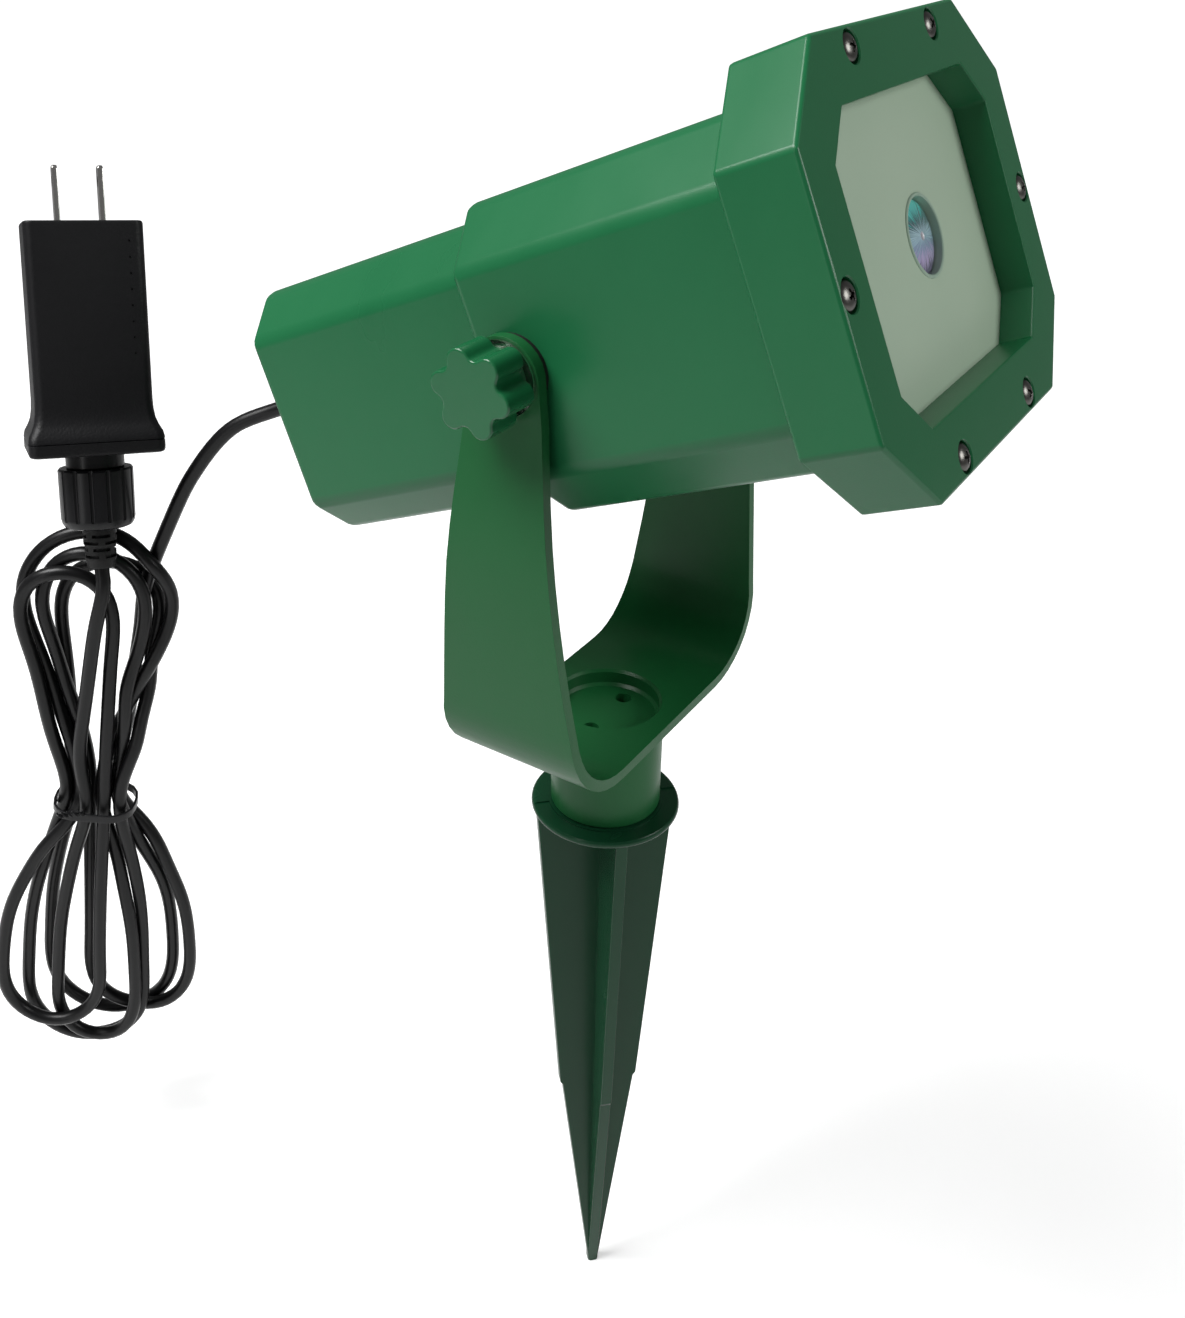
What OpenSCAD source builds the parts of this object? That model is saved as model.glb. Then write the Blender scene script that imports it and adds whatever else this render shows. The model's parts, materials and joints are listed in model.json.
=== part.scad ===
// Stake-mounted light projector: head, yoke, ground spike, power cord and plug.
// Millimetres. Origin at the tip of the spike, +Z up, the head looks toward -Y.

/* [Stake] */
// Height of the tilt axis above the spike tip
pivot_z = 330; // [280:1:370]
// Height of the top of the flange above the spike tip
flange_z = 192; // [160:1:210]
// Flange diameter
flange_d = 41; // [34:0.5:50]
// Flange thickness
flange_t = 2.8; // [2:0.5:6]
// Width of the crossed blades under the flange
blade_w = 39; // [26:1:40]
// Width of the blades at the shoulder
shoulder_w = 24; // [16:0.2:30]
// Height of the shoulder above the tip
shoulder_z = 85; // [50:1:110]
// Width of the blades at the tip
tip_w = 2.8; // [2:0.1:6]
// Blade thickness
blade_t = 3.4; // [2:0.1:5]
// Turn of the crossed blades about the vertical
blade_turn = 45; // [0:1:90]
// Diameter of the peg inside the yoke hub
peg_d = 25; // [18:0.5:27]
// Height of the peg above the flange
peg_h = 20; // [12:0.5:23]

/* [Yoke] */
// Outer width across the arms
yoke_w = 96; // [92:0.5:116]
// Strap thickness
strap_t = 2.9; // [2:0.1:4]
// Bulge of the arms halfway down, to each side
arm_bow = 3; // [0:0.1:5]
// Half width of an arm at the pivot
arm_r = 9.2; // [8:0.5:14]
// Half width of the bottom plate
foot_r = 19.5; // [16:0.5:24]
// Drop from the tilt axis to the upper face of the bottom plate
yoke_drop = 106; // [98:0.5:120]
// Outer radius of the bends
bend_r = 23; // [8:1:30]
// Hub diameter
hub_d = 30.2; // [27:0.2:34]
// Radius of the round recess above the hub
cup_r = 13.8; // [10:0.2:14]
// Depth of the recess below the plate
cup_d = 4.7; // [2:0.1:6]
// Distance between the two drain holes in the recess
drain_pitch = 17; // [12:0.2:20]
// Diameter of a drain hole
drain_d = 4.4; // [3:0.2:6]

/* [Head] */
// Upward tilt of the head as modelled
head_tilt = 22.5; // [0:0.5:45]
// Half width, half height and corner cut of the front housing
body_x = 43.6; // [40:0.1:45]
body_z = 36.3; // [30:0.1:40]
body_c = 12.6; // [6:0.1:16]
// Stations of the rear and front ends of the front housing, forward of the pivot
body_s0 = -8.5; // [-14:0.5:-4]
body_s1 = 64.3; // [60:0.5:76]
// Wall thickness
wall = 2.6; // [1.6:0.1:3.5]
// Half width, half height and corner cut of the rear cover
rear_x = 37.1; // [32:0.1:39]
rear_z = 32.6; // [26:0.1:33]
rear_c = 10.3; // [5:0.1:12]
// Station of the rear face
rear_s = -84; // [-90:0.5:-70]
// Half width, half height and corner cut of the bezel
bezel_x = 54; // [50:0.1:58]
bezel_z = 44; // [40:0.1:50]
bezel_c = 17.3; // [12:0.1:22]
// Depth of the bezel
bezel_d = 16.6; // [14:0.1:24]
// Half width, half height and corner cut of the window opening
window_x = 41; // [37:0.1:44]
window_z = 30.4; // [26:0.1:34]
window_c = 9.2; // [5:0.1:12]
// Depth of the window recess
recess_d = 7.4; // [4:0.1:10]
// Sideways offset of the lens from the head axis
lens_x = 7.3; // [-20:0.1:20]
// Lens diameter
lens_d = 16.4; // [10:0.2:20]

/* [Knobs] */
// Knob diameter over the lobes
knob_d = 20.2; // [16:0.2:26]
// Knob thickness
knob_t = 10.9; // [6:0.1:14]
// Stud diameter
stud_d = 5; // [4:0.5:6]
// Diameter of the trunnions that carry the yoke arms
trunnion_d = 12; // [9:0.5:14]

/* [Cord] */
// Cord diameter
cord_d = 4.5; // [4:0.1:6]
// Thickness, turn and sideways lean of the tied hank
hank_t = 20; // [12:1:26]
hank_turn = -53; // [-60:1:-40]
hank_lean = 7.5; // [0:0.1:12]
// Turn, backward lean and sideways lean of the plug
plug_turn = -32; // [-60:1:0]
plug_back = 15; // [0:0.5:20]
plug_lean = 5.7; // [0:0.1:12]

/* [Plug] */
// Width of the adapter case
case_w = 33.2; // [28:0.2:40]
// Depth of the adapter case
case_y = 24; // [20:0.5:34]
// Height of the case above its base
case_h = 59; // [40:1:70]
// Width and height of the flared base
base_w = 38.4; // [34:0.5:44]
base_h = 8; // [5:0.2:12]
// Distance between the blades
pin_pitch = 12.7; // [12.7:0.1:12.7]

/* [Hidden] */
eps = 0.01;
run = 0.08;                               // radial running clearance
gap = 0.3;                                // gap between faces that pass each other
round_n = 64;
small_n = 32;
blade_top = flange_z - flange_t;
plate_z = pivot_z - yoke_drop;            // upper face of the bottom plate
plate_b = plate_z - strap_t;
arm_x = yoke_w/2;
arm_in = arm_x - strap_t;
cup_z = plate_z - cup_d;                  // floor of the recess
floor_t = 2.6;
socket_z = cup_z - floor_t;               // roof of the socket
hub_b = flange_z + gap;
front_s = body_s1 - 0.4 + bezel_d;        // front face of the bezel
skirt_s = front_s - bezel_d;
flange_plate = 3.2;
pocket_s = skirt_s + flange_plate + 0.2;  // bottom of the pocket for the housing flange
skirt = 1.7;
lip = 2;
pane_t = 2.4;
pane_s1 = front_s - recess_d;
pane_s0 = pane_s1 - pane_t;
pane_x = window_x + 5;
pane_z = window_z + 5.4;
pane_c = window_c + 3;
gasket_t = 1;
panel_s1 = pane_s0 - gasket_t;
panel_s0 = pocket_s - 0.2;
screw_x = 50;                             // bezel screws at the sides
screw_u = 21;                             // bezel screws above and below
screw_z = 39.9;
screw_r = 1.5;
screw_head_r = 3.1;
screw_head_t = 1.9;
boss_r = 3.6;
lens_r = lens_d/2;
barrel_r = lens_r + 1.6;
ring_t = 0.8;
carrier_s = 48;
carrier_t = 2;
post_x = 30;
post_z = 20;
post_r = 3;
laser_r = 5;
laser_z = 6.2;
laser_s0 = 20;
sink_s0 = 24;
sink_x0 = 0.6;
sink_w = 24;
sink_h = 30;
fin_n = 5;
fin_gap = 2;
motor_x = -7.5;
motor_r = 7.5;
motor_l = 18;
shaft_r = 1;
disc_r = 18;
disc_t = 1.2;
disc_s = 53;
hub_r = 3;
board_z = -14;
board_w = 62;
board_l = 52;
board_s = -66;
board_t = 1.6;
board_post_x = 24;
board_post_s = [-61, -19];
gland_r = 5;
gland_flange_r = 8;
gland_l = 12;
gland_s = rear_s - gland_l;
lead_r = cord_d/2;
knob_gap = 1.1;
washer_t = 0.8;
knob_x = arm_x + gap + washer_t;
lobe_r = 3.3;
plug_pos = [-34.7, 158.4, 270.8];
hank_pos = [-38.2, 157.2, 234.6];
neck_h = 4.8;
nut_h = 18;
nut_r = 10.9;
relief_h = 12.4;
relief_r = 5;
hank_top = neck_h + nut_h + relief_h;

green = [0.16, 0.42, 0.24];
dark = [0.1, 0.1, 0.11];
steel = [0.7, 0.7, 0.72];
brass = [0.8, 0.65, 0.3];

// A symmetric octagon given by half width, half height and corner cut
module octagon(x, z, c)
  polygon([[c - x, z], [x - c, z], [x, z - c], [x, c - z], [x - c, -z], [c - x, -z], [-x, c - z], [-x, z - c]]);

// An octagonal prism between two stations on the head axis
module oct_bar(x, z, c, s0, s1)
  translate([0, -s0, 0]) rotate([90, 0, 0]) linear_extrude(s1 - s0) octagon(x, z, c);

// A round bar between two stations on the head axis
module rod(r, s0, s1, n = small_n)
  translate([0, -s0, 0]) rotate([90, 0, 0]) cylinder(r = r, h = s1 - s0, $fn = n);

// A block between two stations, centred on x and z
module block(x, z, s0, s1)
  translate([-x/2, -s1, -z/2]) cube([x, s1 - s0, z]);

module at_head()
  translate([0, 0, pivot_z]) rotate([-head_tilt, 0, 0]) children();

module at_plug()
  translate(plug_pos) rotate([0, 0, plug_turn]) rotate([-plug_back, 0, 0]) rotate([0, plug_lean, 0]) children();

module at_hank()
  translate(hank_pos) rotate([0, 0, hank_turn]) rotate([0, hank_lean, 0]) children();

module at_bezel_screws() {
  for (x = [-1, 1]) translate([x*screw_x, 0, 0]) children();
  for (x = [-1, 1], z = [-1, 1]) translate([x*screw_u, 0, z*screw_z]) children();
}

module at_corners(x, z)
  for (i = [-1, 1], k = [-1, 1]) translate([i*x, 0, k*z]) children();

// ---- stake

module blade_outline() {
  polygon([[-blade_w/2, blade_top + eps], [blade_w/2, blade_top + eps], [shoulder_w/2, shoulder_z],
    [shoulder_w/2 - 0.8, shoulder_z - 1], [tip_w/2, 0], [-tip_w/2, 0],
    [0.8 - shoulder_w/2, shoulder_z - 1], [-shoulder_w/2, shoulder_z]]);
}

module ground_spike() color(green) {
  rim = flange_t/2;
  for (a = [0, 90])
    rotate([0, 0, blade_turn + a]) translate([0, blade_t/2, 0]) rotate([90, 0, 0])
      linear_extrude(blade_t) blade_outline();
  translate([0, 0, blade_top]) rotate_extrude($fn = round_n) {
    square([flange_d/2 - rim, flange_t]);
    translate([flange_d/2 - rim, rim]) circle(r = rim, $fn = small_n);
  }
  translate([0, 0, flange_z - eps]) cylinder(d = peg_d, h = peg_h, $fn = round_n);
}

// ---- yoke

// Outline of the yoke seen from the front, shrunk by t; the arms bulge a little halfway down
module strap_side(t, top) {
  x = arm_x - t;
  z = plate_b + t;
  r = bend_r - t;
  polygon([[-x, top], [-x, pivot_z - arm_r], [-x - arm_bow, pivot_z - 5*arm_r], [-x, z + r], [x, z + r],
    [x + arm_bow, pivot_z - 5*arm_r], [x, pivot_z - arm_r], [x, top]]);
  translate([r - x, z]) square([2*(x - r), r + eps]);
  for (i = [-1, 1]) translate([i*(x - r), z + r]) circle(r = r, $fn = round_n);
}

module strap_width() {
  z = [-yoke_drop - strap_t, -yoke_drop + 4, -92, -72, -44, -14, 0];
  w = [foot_r, foot_r, 19, 16.6, 13.8, 10.4, arm_r];
  polygon(concat([for (i = [0:6]) [w[i], pivot_z + z[i]]], [for (i = [6:-1:0]) [-w[i], pivot_z + z[i]]]));
  translate([0, pivot_z]) circle(r = arm_r, $fn = round_n);
}

module yoke_bracket() color(green) difference() {
  union() {
    intersection() {
      translate([0, foot_r + 2, 0]) rotate([90, 0, 0]) linear_extrude(2*foot_r + 4) difference() {
        strap_side(0, pivot_z + 2*arm_r);
        strap_side(strap_t, pivot_z + 3*arm_r);
      }
      translate([-arm_x - arm_bow - 1, 0, 0]) rotate([90, 0, 90])
        linear_extrude(yoke_w + 2*arm_bow + 2) strap_width();
    }
    translate([0, 0, hub_b]) cylinder(d = hub_d, h = plate_b - hub_b + 1, $fn = round_n);
  }
  translate([0, 0, cup_z]) cylinder(r = cup_r, h = cup_d + 1, $fn = round_n);
  translate([0, 0, hub_b - 1]) cylinder(r = peg_d/2 + run, h = socket_z - hub_b + 1, $fn = round_n);
  for (i = [-1, 1]) translate([i*drain_pitch/2, 0, socket_z - 1])
    cylinder(d = drain_d, h = floor_t + 2, $fn = small_n);
  translate([-arm_x - 1, 0, pivot_z]) rotate([0, 90, 0])
    cylinder(r = trunnion_d/2 + run, h = yoke_w + 2, $fn = round_n);
}

// ---- head shells

module front_housing() color(green) at_head() difference() {
  union() {
    oct_bar(body_x, body_z, body_c, body_s0, skirt_s + 1);
    oct_bar(bezel_x - skirt - gap/2, bezel_z - skirt - gap/2, bezel_c - 0.6, skirt_s + 0.1, skirt_s + flange_plate);
    rotate([0, 90, 0]) translate([0, 0, -arm_x + 0.2]) cylinder(d = trunnion_d, h = yoke_w - 0.4, $fn = round_n);
  }
  oct_bar(body_x - wall, body_z - wall, body_c - 1.2, body_s0 + wall, skirt_s + flange_plate + 1);
  oct_bar(rear_x + 0.1, rear_z + 0.1, rear_c, body_s0 - 1, body_s0 + wall + 1);
  for (i = [-1, 1]) translate([i*(body_x + 1), 0, 0]) rotate([0, i*90, 0]) translate([0, 0, -wall - 5])
    cylinder(r = stud_d/2 + 1.2, h = 2*wall + 8, $fn = small_n);
  at_bezel_screws() rod(screw_r - 0.2, skirt_s - 1, pocket_s + 1);
}

module rear_cover() color(green) at_head() difference() {
  union() {
    oct_bar(rear_x, rear_z, rear_c, rear_s, body_s0 + wall + 0.5);
    oct_bar(body_x - wall - 0.2, body_z - wall - 0.2, body_c - 1.3, body_s0 + wall, body_s0 + wall + lip);
    for (s = board_post_s, i = [-1, 1]) translate([i*board_post_x, -s, -rear_z + 1])
      cylinder(r = post_r, h = board_z + rear_z - 1, $fn = small_n);
  }
  difference() {
    oct_bar(rear_x - wall, rear_z - wall, rear_c - 1.2, rear_s + wall + 0.4, body_s0 + 2*wall + 1);
    for (s = board_post_s, i = [-1, 1]) translate([i*board_post_x, -s, -rear_z])
      cylinder(r = post_r, h = board_z + rear_z, $fn = small_n);
  }
  for (s = board_post_s, i = [-1, 1]) translate([i*board_post_x, -s, board_z - 8])
    cylinder(r = 1.25, h = 9, $fn = small_n);
  rod(gland_r + 0.05, rear_s - 1, rear_s + wall + 2);
}

module front_bezel() color(green) at_head() difference() {
  oct_bar(bezel_x, bezel_z, bezel_c, skirt_s, front_s);
  oct_bar(window_x, window_z, window_c, skirt_s - 1, front_s + 1);
  oct_bar(bezel_x - skirt, bezel_z - skirt, bezel_c - 0.6, skirt_s - 1, pocket_s);
  oct_bar(pane_x + 0.1, pane_z + 0.1, pane_c, skirt_s, pane_s1);
  difference() {
    oct_bar(bezel_x - skirt, bezel_z - skirt, bezel_c - 0.6, pocket_s - 1, front_s - wall - 0.4);
    oct_bar(window_x + lip, window_z + lip, window_c + 0.8, pane_s1 - eps, front_s);
    at_bezel_screws() rod(boss_r, pocket_s, front_s);
  }
  at_bezel_screws() rod(screw_r + 0.15, skirt_s - 1, front_s + 1);
  at_bezel_screws() rod(screw_head_r + 0.2, front_s - screw_head_t + 0.5, front_s + 1);
}

module pan_screw(s, l, dir) {
  // A cross-recess screw whose head seat is at station s; dir 1 has the head at the front
  translate([0, -s, 0]) rotate([dir*90, 0, 0]) difference() {
    union() {
      cylinder(r = screw_head_r - 0.1, h = screw_head_t*0.6, $fn = small_n);
      translate([0, 0, screw_head_t*0.6 - eps])
        cylinder(r1 = screw_head_r - 0.1, r2 = screw_head_r - 1, h = screw_head_t*0.4, $fn = small_n);
      translate([0, 0, -l]) cylinder(r = screw_r - 0.2, h = l + eps, $fn = small_n);
    }
    for (a = [0, 90]) rotate([0, 0, a]) translate([-1.7, -0.35, screw_head_t - 1.1]) cube([3.4, 0.7, 2]);
  }
}

module bezel_screws() color(steel) at_head()
  at_bezel_screws() pan_screw(front_s - screw_head_t + 0.5, front_s - skirt_s - 1.5, 1);

// ---- window and optics

module window_pane() color([0.7, 0.8, 0.7]) at_head() difference() {
  oct_bar(pane_x, pane_z, pane_c, pane_s0, pane_s1 - 0.02);
  translate([lens_x, 0, 0]) rod(lens_r + ring_t + 0.02, pane_s0 - 1, pane_s1 + 1, round_n);
}

module pane_gasket() color(dark) at_head() difference() {
  oct_bar(pane_x, pane_z, pane_c, panel_s1, pane_s0);
  oct_bar(window_x - 2, window_z - 2, window_c - 1, panel_s1 - 1, pane_s0 + 1);
}

module lens_panel() color(dark) at_head() difference() {
  union() {
    oct_bar(pane_x, pane_z, pane_c, panel_s0, panel_s1);
    translate([lens_x, 0, 0]) rod(barrel_r, 58, pane_s0 - 0.1, round_n);
    at_corners(post_x, post_z) rod(post_r, carrier_s + carrier_t, panel_s0 + 1);
  }
  translate([lens_x, 0, 0]) rod(lens_r + 0.02, 57, pane_s1, round_n);
  at_corners(post_x, post_z) rod(screw_r - 0.2, carrier_s + carrier_t - 1, carrier_s + carrier_t + 12);
  translate([-30, 0, 0]) block(7.2, 8.2, panel_s0 - 1, panel_s1 + 1);
}

module projection_lens() color([0.3, 0.5, 0.7]) at_head() translate([lens_x, 0, 0])
  rod(lens_r, pane_s0 - 3, pane_s1 - 0.4, round_n);

module lens_ring() color([0.8, 0.85, 0.8]) at_head() translate([lens_x, 0, 0]) difference() {
  rod(lens_r + ring_t, pane_s0 - 0.1, pane_s1 + 0.3, round_n);
  rod(lens_r + 0.02, pane_s0 - 1, pane_s1 + 1, round_n);
}

module ir_receiver() color(dark) at_head() translate([-30, 0, 0]) {
  block(7, 8, panel_s0 - 3, panel_s1);
  for (i = [-1:1]) translate([i*2.54, 0, 0]) rod(0.4, panel_s0 - 10, panel_s0 - 3 + eps);
}

module optics_carrier() color(steel) at_head() difference() {
  block(2*post_x + 8, 2*post_z + 8, carrier_s, carrier_s + carrier_t);
  for (i = [-1, 1]) translate([lens_x, 0, i*laser_z]) rod(laser_r + 0.05, carrier_s - 1, carrier_s + carrier_t + 1);
  translate([motor_x, 0, 0]) rod(2.5, carrier_s - 1, carrier_s + carrier_t + 1);
  at_corners(post_x, post_z) rod(screw_r, carrier_s - 1, carrier_s + carrier_t + 1);
}

module carrier_screws() color(steel) at_head()
  at_corners(post_x, post_z) pan_screw(carrier_s, 9, -1);

module heat_sink() color([0.6, 0.62, 0.65]) at_head() difference() {
  translate([sink_x0 + sink_w/2, 0, 0]) block(sink_w, sink_h, sink_s0, carrier_s);
  for (i = [-1, 1]) translate([lens_x, 0, i*laser_z]) rod(laser_r + 0.02, sink_s0 - 1, carrier_s + 1);
  for (k = [0:fin_n - 1]) translate([sink_x0 + 15, -carrier_s - 1, -sink_h/2 + 4 + k*5])
    cube([sink_w, carrier_s - sink_s0 + 2, fin_gap]);
}

module laser(z) at_head() translate([lens_x, 0, z]) {
  rod(laser_r, laser_s0, carrier_s + carrier_t);
  rod(3, carrier_s + carrier_t - eps, carrier_s + carrier_t + 1.5);
}

module laser_green() color(brass) laser(laser_z);

module laser_red() color(brass) laser(-laser_z);

module grating_motor() color(steel) at_head() translate([motor_x, 0, 0]) difference() {
  rod(motor_r, carrier_s - motor_l, carrier_s);
  rod(shaft_r + run, carrier_s - 8, carrier_s + 1);
}

module grating_shaft() color(steel) at_head() translate([motor_x, 0, 0]) {
  rod(shaft_r, carrier_s - 7, disc_s + disc_t);
}

module grating_disc() color([0.7, 0.75, 0.9]) at_head() translate([motor_x, 0, 0]) difference() {
  union() {
    rod(disc_r, disc_s, disc_s + disc_t, round_n);
    rod(hub_r, disc_s - 1, disc_s + 3);
  }
  rod(shaft_r, disc_s - 2, disc_s + disc_t);
}

// ---- electronics and gland

module control_board() color([0.1, 0.35, 0.2]) at_head() difference() {
  translate([-board_w/2, -board_s - board_l, board_z]) cube([board_w, board_l, board_t]);
  for (s = board_post_s, i = [-1, 1]) translate([i*board_post_x, -s, board_z - 1])
    cylinder(r = 1.5, h = 4, $fn = small_n);
}

module board_parts() color(dark) at_head() translate([0, -board_s - board_l, board_z + board_t]) {
  translate([-20, 10, 0]) cube([12, 12, 2.2]);
  translate([-2, 8, 0]) cube([16, 12, 11]);
  translate([-16, 30, 0]) cylinder(d = 8, h = 12, $fn = small_n);
  translate([-4, 30, 0]) cylinder(d = 8, h = 12, $fn = small_n);
  translate([-6, 38, 0]) cube([12, 10, 9]);
}

module board_screws() color(steel) at_head()
  for (s = board_post_s, i = [-1, 1]) translate([i*board_post_x, -s, board_z + board_t]) {
    cylinder(r = 2.6, h = 1.6, $fn = small_n);
    translate([0, 0, -7]) cylinder(r = 1.25, h = 7 + eps, $fn = small_n);
  }

module cable_gland() color(dark) at_head() difference() {
  union() {
    rod(gland_r, rear_s - 1, rear_s + wall + 5);
    rod(gland_flange_r, rear_s - 3, rear_s - 0.02);
    rod(5.4, rear_s - 6.5, rear_s - 2);
    rod(4.6, gland_s, rear_s - 2);
  }
  rod(lead_r, gland_s + 2, rear_s + wall + 6);
  for (k = [0:2]) difference() {
    rod(6, gland_s + 1.6 + 1.7*k, gland_s + 2.4 + 1.7*k);
    rod(3.9, gland_s, gland_s + 8);
  }
}

module gland_nut() color(dark) at_head() difference() {
  rod(gland_r + 3, rear_s + wall + 0.4, rear_s + wall + 4, 6);
  rod(gland_r, rear_s + wall, rear_s + wall + 5);
}

module inner_lead() color(dark) at_head() {
  rod(lead_r - 0.6, gland_s + 2, board_s + 9);
  translate([0, -board_s - 9, 0]) sphere(r = lead_r - 0.6, $fn = small_n);
  translate([0, -board_s - 9, board_z + board_t + 9]) cylinder(r = lead_r - 0.6, h = -board_z - board_t - 9, $fn = small_n);
}

// ---- pivots and knobs; i is -1 on the left and 1 on the right

module along_x(i, x)
  at_head() translate([i*x, 0, 0]) rotate([0, i*90, 0]) children();

module insert(i) color(brass) along_x(i, body_x - wall - 3) difference() {
  cylinder(r = stud_d/2 + 1.2, h = wall + 6, $fn = small_n);
  translate([0, 0, -1]) cylinder(r = stud_d/2 + run, h = wall + 9, $fn = small_n);
}

module insert_left() insert(-1);

module insert_right() insert(1);

module friction_washer(i) color(dark) along_x(i, body_x) difference() {
  cylinder(r = arm_r - 0.4, h = arm_in - body_x - 0.1, $fn = round_n);
  translate([0, 0, -1]) cylinder(r = trunnion_d/2, h = 4, $fn = round_n);
}

module friction_washer_left() friction_washer(-1);

module friction_washer_right() friction_washer(1);

module knob_washer(i) color(steel) along_x(i, arm_x + 0.15) difference() {
  cylinder(r = 8.6, h = washer_t, $fn = round_n);
  translate([0, 0, -1]) cylinder(r = stud_d/2 + gap, h = 4, $fn = small_n);
}

module knob_washer_left() knob_washer(-1);

module knob_washer_right() knob_washer(1);

module lobes() difference() {
  union() {
    circle(r = knob_d/2 - 2.2, $fn = round_n);
    for (a = [0:60:300]) rotate([0, 0, a]) translate([knob_d/2 - lobe_r, 0]) circle(r = lobe_r, $fn = small_n);
  }
  for (a = [30:60:330]) rotate([0, 0, a]) translate([knob_d/2 + 0.1, 0]) circle(r = 2.7, $fn = small_n);
}

module knob(i) color(green) along_x(i, knob_x) difference() {
  union() {
    cylinder(r = 7.4, h = 2, $fn = round_n);
    translate([0, 0, 1.5]) linear_extrude(knob_t - 1.5) lobes();
  }
  translate([0, 0, -1]) cylinder(d = stud_d, h = 8, $fn = small_n);
}

module knob_left() knob(-1);

module knob_right() knob(1);

module knob_stud(i) color(steel) along_x(i, body_x - wall - 2)
  cylinder(d = stud_d, h = knob_x + 7 - body_x + wall + 2, $fn = small_n);

module knob_stud_left() knob_stud(-1);

module knob_stud_right() knob_stud(1);

// ---- cord

// Route of the lead from the gland to the hank
lead_route = [[0, 88.9, 293.2], [0, 98, 289.4], [-4, 112, 284], [-11, 125, 277], [-17.5, 136, 262],
  [-22.5, 144.5, 244], [-27, 152, 225]];
lead_sides = 8;
lead_steps = 7;

function cr(a, b, c, d, t) = 0.5*(2*b + (c - a)*t + (2*a - 5*b + 4*c - d)*t*t + (3*b - a - 3*c + d)*t*t*t);
function unit(v) = v/norm(v);
function route_point(i, t) = cr(lead_route[max(i - 1, 0)], lead_route[i], lead_route[i + 1],
  lead_route[min(i + 2, len(lead_route) - 1)], t);
lead_line = concat([for (i = [0:len(lead_route) - 2], k = [0:lead_steps - 1]) route_point(i, k/lead_steps)],
  [lead_route[len(lead_route) - 1]]);
lead_n = len(lead_line);
function tangent(i) = unit(lead_line[min(i + 1, lead_n - 1)] - lead_line[max(i - 1, 0)]);
function side_of(i) = unit(cross(tangent(i), [1, 0.1, 0.2]));
function ring_point(i, k) = let (s = side_of(i), u = cross(tangent(i), s), a = 360*k/lead_sides)
  lead_line[i] + lead_r*(cos(a)*s + sin(a)*u);

module power_lead() color(dark) {
  pts = [for (i = [0:lead_n - 1], k = [0:lead_sides - 1]) ring_point(i, k)];
  sides = [for (i = [0:lead_n - 2], k = [0:lead_sides - 1]) let (a = i*lead_sides + k,
    b = i*lead_sides + (k + 1)%lead_sides) [a, a + lead_sides, b + lead_sides, b]];
  first = [[for (k = [0:lead_sides - 1]) k]];
  last = [[for (k = [lead_sides - 1:-1:0]) (lead_n - 1)*lead_sides + k]];
  polyhedron(points = pts, faces = concat(sides, first, last));
}

function arc(c, r, a0, a1, n) = [for (i = [0:n]) let (a = a0 + (a1 - a0)*i/n) c + r*[cos(a), sin(a)]];

module hank_outline()
  polygon(concat(arc([-3, -17], 24.5, 0, 180, 14), [[-14.5, -84], [-14.5, -96]],
    arc([-1.5, -165], 34, 180, 360, 18), [[10.5, -96], [10.5, -84]]));

module cord_hank() color(dark) at_hank()
  translate([0, hank_t/2, 0]) rotate([90, 0, 0]) linear_extrude(hank_t) hank_outline();

module cord_tie() color(dark) at_hank() difference() {
  translate([-15.7, -hank_t/2 - 1.2, -92]) cube([27.4, hank_t + 2.4, 4]);
  translate([-14.5, -hank_t/2, -93]) cube([25, hank_t, 6]);
}

// ---- plug and adapter

module plug_strain_relief() color(dark) at_plug() translate([0, 0, -hank_top]) difference() {
  union() {
    cylinder(r = relief_r - 1, h = relief_h, $fn = small_n);
    for (k = [0:2]) translate([0, 0, 1.4 + 4*k]) cylinder(r = relief_r, h = 2.2, $fn = small_n);
  }
}

module coupling_nut() color(dark) at_plug() translate([0, 0, -neck_h - nut_h]) difference() {
  cylinder(r = nut_r, h = nut_h, $fn = round_n);
  for (a = [0:20:340]) rotate([0, 0, a]) translate([nut_r + 0.5, 0, 2])
    cylinder(r = 1.1, h = nut_h, $fn = 16);
}

module adapter_socket() color(dark) at_plug() translate([0, 0, -neck_h])
  cylinder(r = 8.5, h = neck_h, $fn = round_n);

module adapter_base() color(dark) at_plug()
  translate([-base_w/2, -case_y/2 - 3, 0]) cube([base_w, case_y + 6, base_h]);

module adapter_case() color(dark) at_plug() translate([0, 0, base_h]) difference() {
  translate([-case_w/2, -case_y/2, 0]) cube([case_w, case_y, case_h]);
  translate([-case_w/2 + 2, -case_y/2 + 2, -1]) cube([case_w - 4, case_y - 4, case_h - 1]);
  for (i = [-1, 1]) translate([i*pin_pitch/2 - 0.75, -3.15, case_h - 3]) cube([1.5, 6.3, 4]);
}

module adapter_blades() color(steel) at_plug()
  for (i = [-1, 1]) translate([i*pin_pitch/2 - 0.75, -3.15, base_h + case_h - 8]) cube([1.5, 6.3, 24]);

module adapter_board() color([0.1, 0.35, 0.2]) at_plug() translate([0, 0, base_h]) {
  translate([-12, 6, 0]) cube([24, 1.6, 44]);
  translate([-8, -8, 6]) cube([16, 14 + eps, 16]);
  translate([-7, 0, 28]) cube([14, 6 + eps, 9]);
}

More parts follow.
